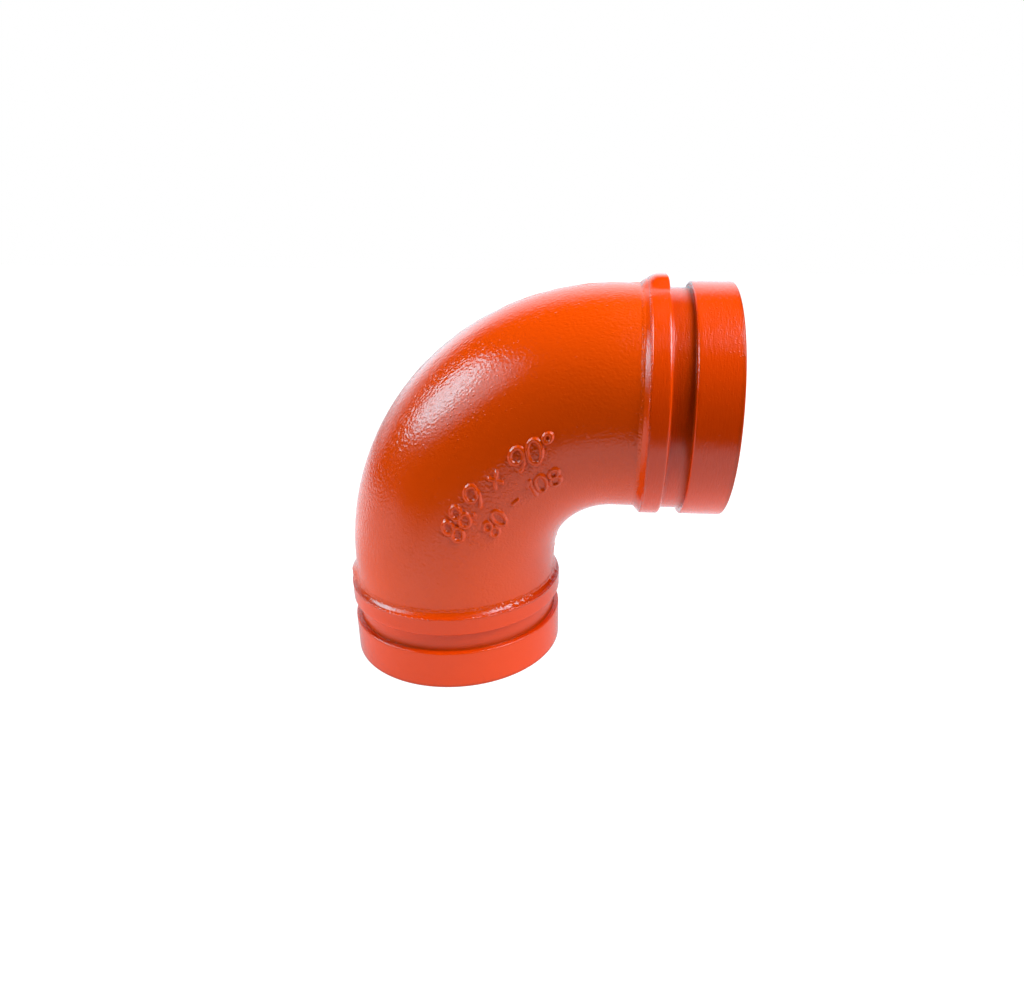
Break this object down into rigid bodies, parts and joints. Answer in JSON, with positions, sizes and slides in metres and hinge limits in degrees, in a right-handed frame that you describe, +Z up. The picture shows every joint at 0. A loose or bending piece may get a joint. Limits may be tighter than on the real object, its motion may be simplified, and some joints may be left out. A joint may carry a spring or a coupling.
{
  "type": "grooved pipe elbow",
  "caption": "Orange painted cast 90 degree pipe elbow with a turned, grooved port at each end for clamp-on pipe couplings.",
  "frame": {"origin": "centre of the lower port's end face, which the elbow stands on", "axes": "+Z up along the lower port's axis into the elbow, +X along the side port's axis out of the elbow, the bend in the XZ plane"},
  "size_m": [0.1526, 0.0892, 0.1526],
  "materials": {
    "orange_paint": "glossy orange enamel over cast iron"
  },
  "bodies": {
    "root": {"elbow_body": "orange_paint"}
  },
  "joints": []
}
